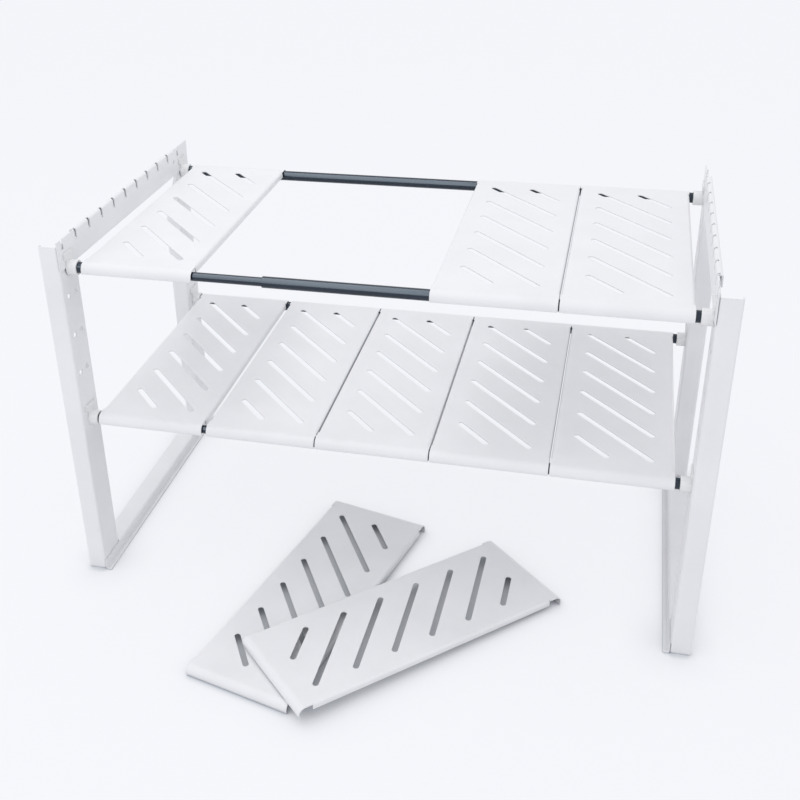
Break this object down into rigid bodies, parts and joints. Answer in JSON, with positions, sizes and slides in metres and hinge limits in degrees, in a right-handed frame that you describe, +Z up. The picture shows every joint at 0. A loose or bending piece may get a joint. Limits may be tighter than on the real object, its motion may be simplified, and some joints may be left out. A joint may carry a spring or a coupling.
{
  "type": "expandable under-sink shelf",
  "caption": "Free-standing under-sink shelf with folded side frames, telescopic rails and drop-on slotted panels that leave a gap for a drain pipe.",
  "frame": {"origin": "on the floor under the middle of the whole set, loose panels included", "axes": "+X along the width towards the sliding side frame, +Y from front to back, +Z up"},
  "size_m": [0.64, 0.5076, 0.388],
  "materials": {
    "white_steel": "satin",
    "white_plastic": "satin",
    "slate_tube": "gloss"
  },
  "bodies": {
    "left_half": {"left_front_post": "white_steel", "left_rear_post": "white_steel", "left_top_rail": "white_steel", "left_bottom_rail": "white_steel", "left_top_front_socket": "white_plastic", "left_top_back_socket": "white_plastic", "left_lower_front_socket": "white_plastic", "left_lower_back_socket": "white_plastic", "top_front_inner_tube": "slate_tube", "top_front_sleeve": "slate_tube", "lower_front_inner_tube": "slate_tube", "lower_front_sleeve": "slate_tube", "top_back_outer_tube": "slate_tube", "lower_back_outer_tube": "slate_tube"},
    "right_half": {"right_front_post": "white_steel", "right_rear_post": "white_steel", "right_top_rail": "white_steel", "right_bottom_rail": "white_steel", "right_top_front_socket": "white_plastic", "right_top_back_socket": "white_plastic", "right_lower_front_socket": "white_plastic", "right_lower_back_socket": "white_plastic", "top_back_inner_tube": "slate_tube", "top_back_sleeve": "slate_tube", "lower_back_inner_tube": "slate_tube", "lower_back_sleeve": "slate_tube", "top_front_outer_tube": "slate_tube", "lower_front_outer_tube": "slate_tube"},
    "loose_panel_left": {"loose_panel_left": "white_steel"},
    "loose_panel_right": {"loose_panel_right": "white_steel"},
    "lower_panel_1": {"lower_panel_1": "white_steel"},
    "lower_panel_2": {"lower_panel_2": "white_steel"},
    "lower_panel_3": {"lower_panel_3": "white_steel"},
    "lower_panel_4": {"lower_panel_4": "white_steel"},
    "lower_panel_5": {"lower_panel_5": "white_steel"},
    "top_panel_left": {"top_panel_left": "white_steel"},
    "top_panel_middle": {"top_panel_middle": "white_steel"},
    "top_panel_right": {"top_panel_right": "white_steel"}
  },
  "joints": [
    {"name": "width_extension", "type": "slide", "parent": "left_half", "child": "right_half", "axis": [1, 0, 0], "range_m": [0, 0.17]},
    {"name": "lower_panel_1_lift", "type": "slide", "parent": "left_half", "child": "lower_panel_1", "axis": [0, 0, 1], "range_m": [0, 0.1]},
    {"name": "lower_panel_2_lift", "type": "slide", "parent": "left_half", "child": "lower_panel_2", "axis": [0, 0, 1], "range_m": [0, 0.1]},
    {"name": "lower_panel_3_lift", "type": "slide", "parent": "left_half", "child": "lower_panel_3", "axis": [0, 0, 1], "range_m": [0, 0.1]},
    {"name": "lower_panel_4_lift", "type": "slide", "parent": "right_half", "child": "lower_panel_4", "axis": [0, 0, 1], "range_m": [0, 0.1]},
    {"name": "lower_panel_5_lift", "type": "slide", "parent": "right_half", "child": "lower_panel_5", "axis": [0, 0, 1], "range_m": [0, 0.1]},
    {"name": "top_panel_left_shift", "type": "slide", "parent": "left_half", "child": "top_panel_left", "axis": [1, 0, 0], "range_m": [0, 0.113]},
    {"name": "top_panel_middle_shift", "type": "slide", "parent": "right_half", "child": "top_panel_middle", "axis": [-1, 0, 0], "range_m": [0, 0.113]},
    {"name": "top_panel_right_lift", "type": "slide", "parent": "right_half", "child": "top_panel_right", "axis": [0, 0, 1], "range_m": [0, 0.1]},
    {"name": "loose_panel_left_lift", "type": "slide", "parent": "left_half", "child": "loose_panel_left", "axis": [0, 0, 1], "range_m": [0, 0.06]},
    {"name": "loose_panel_right_lift", "type": "slide", "parent": "loose_panel_left", "child": "loose_panel_right", "axis": [0, 0, 1], "range_m": [0, 0.06]}
  ]
}
